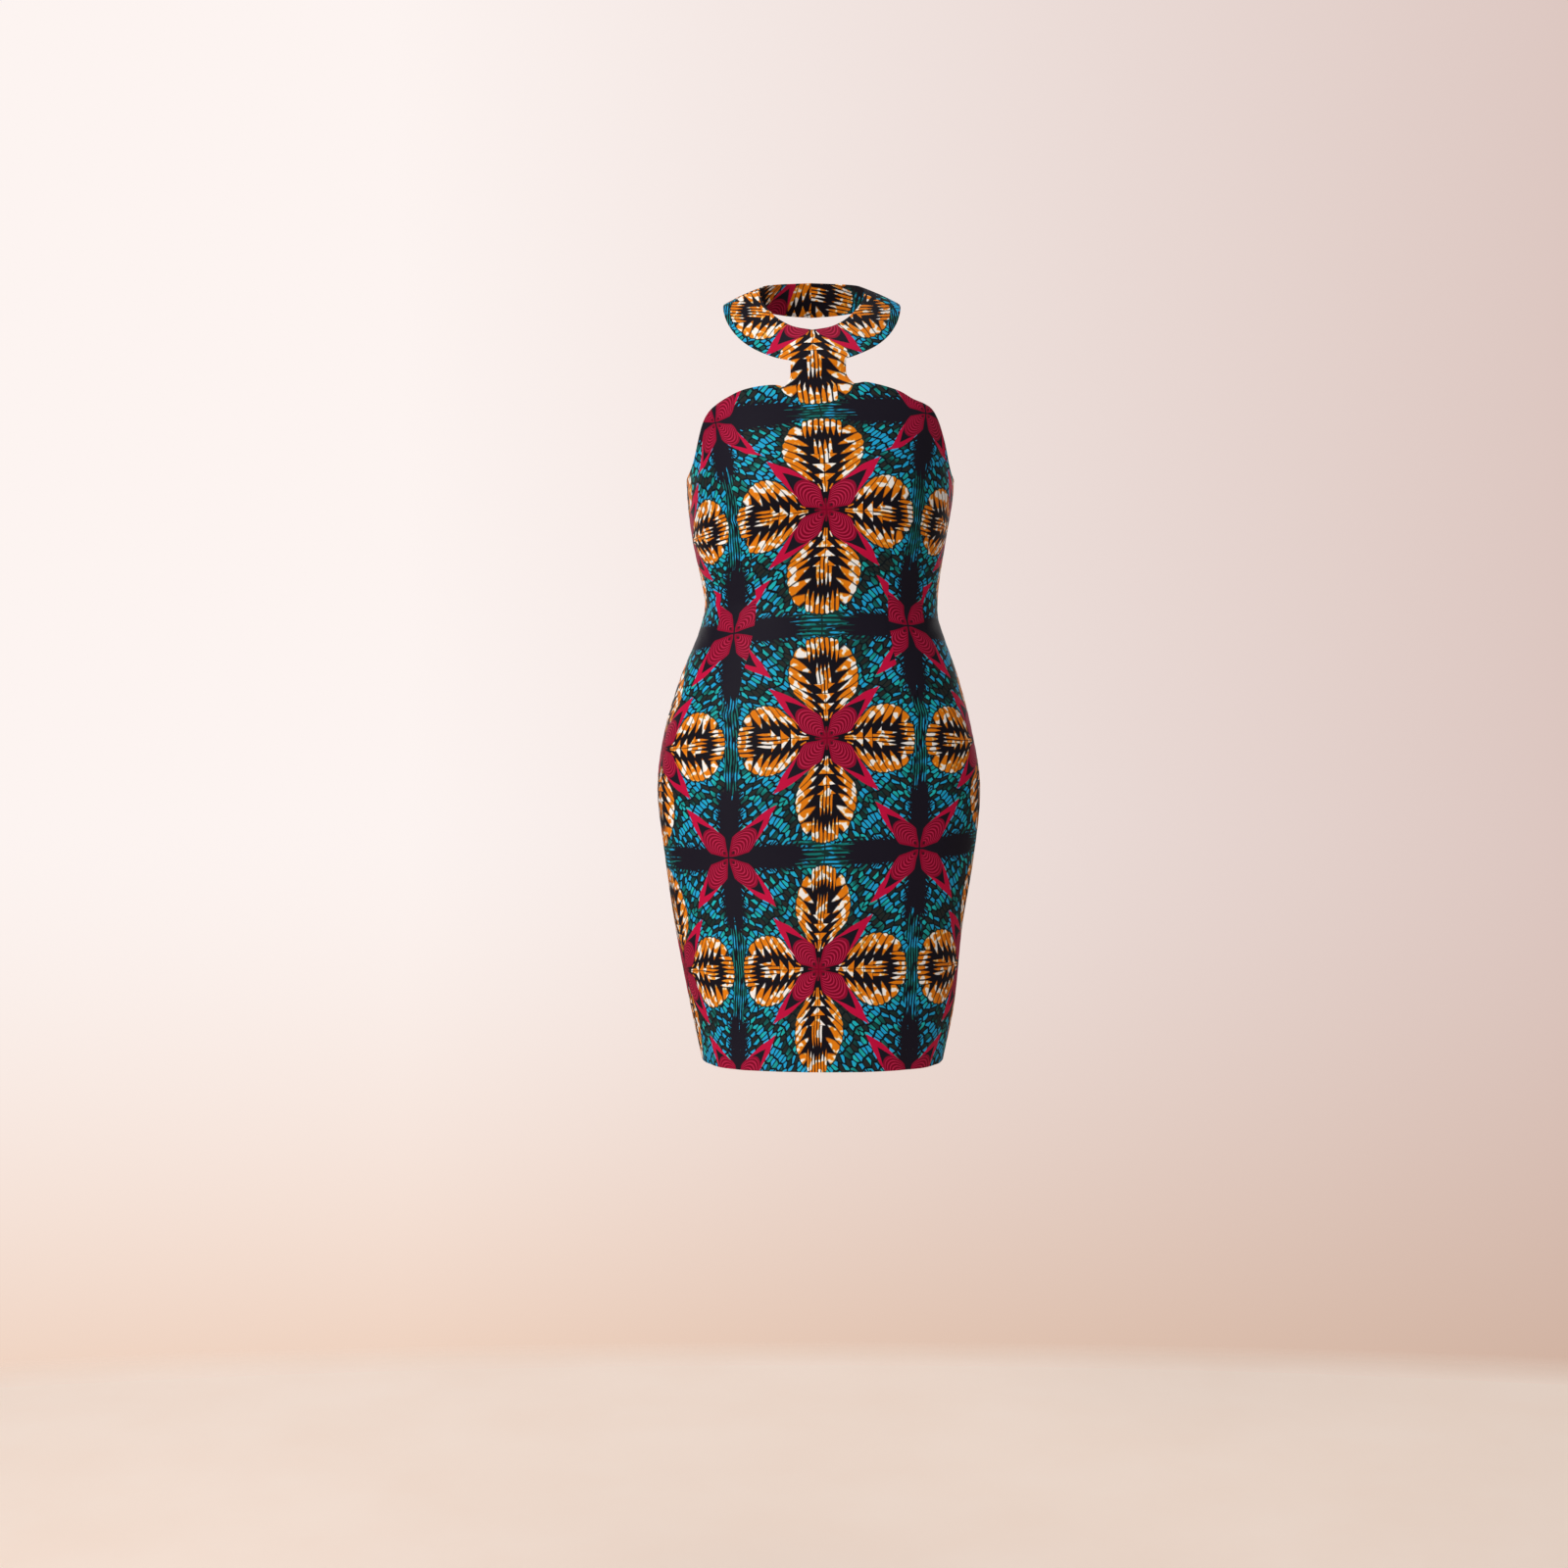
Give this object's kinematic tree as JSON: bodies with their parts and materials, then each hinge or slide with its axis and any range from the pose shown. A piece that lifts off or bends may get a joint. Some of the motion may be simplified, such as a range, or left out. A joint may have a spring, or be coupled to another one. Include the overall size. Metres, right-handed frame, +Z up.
{
  "type": "sleeveless ankara wax print sheath dress, worn form",
  "caption": "Knee-length fitted sleeveless dress in flower-and-star wax print, with a halter collar band joined by a tab, an open back and a back zip.",
  "frame": {"origin": "middle of the neck ring, midway up the collar, where the wearer's neck holds the dress", "axes": "+Z up the standing wearer, -Y the way the dress faces, +X the wearer's left"},
  "size_m": [0.3693, 0.2531, 0.8887],
  "materials": {
    "wax_print_cloth": "smooth waxed cotton, soft sheen, printed in teal, blue, orange, cream, crimson and near-black",
    "zip_tape": "matt woven tape and cord, dark teal",
    "lacquered_metal": "dark teal lacquer, half gloss"
  },
  "bodies": {
    "dress": {"front": "wax_print_cloth", "back_left": "wax_print_cloth", "back_right": "wax_print_cloth", "collar_back_left": "wax_print_cloth", "collar_back_right": "wax_print_cloth", "zip": "zip_tape", "zip_slider": "lacquered_metal", "collar_button": "wax_print_cloth", "collar_loop": "zip_tape"},
    "pull_tab": {"zip_pull": "lacquered_metal"}
  },
  "joints": [
    {"name": "pull_swing", "type": "hinge", "parent": "dress", "child": "pull_tab", "pos_m": [0.00956, 0.10474, -0.19795], "axis": [1, 0, 0], "range_deg": [0, 160]}
  ]
}
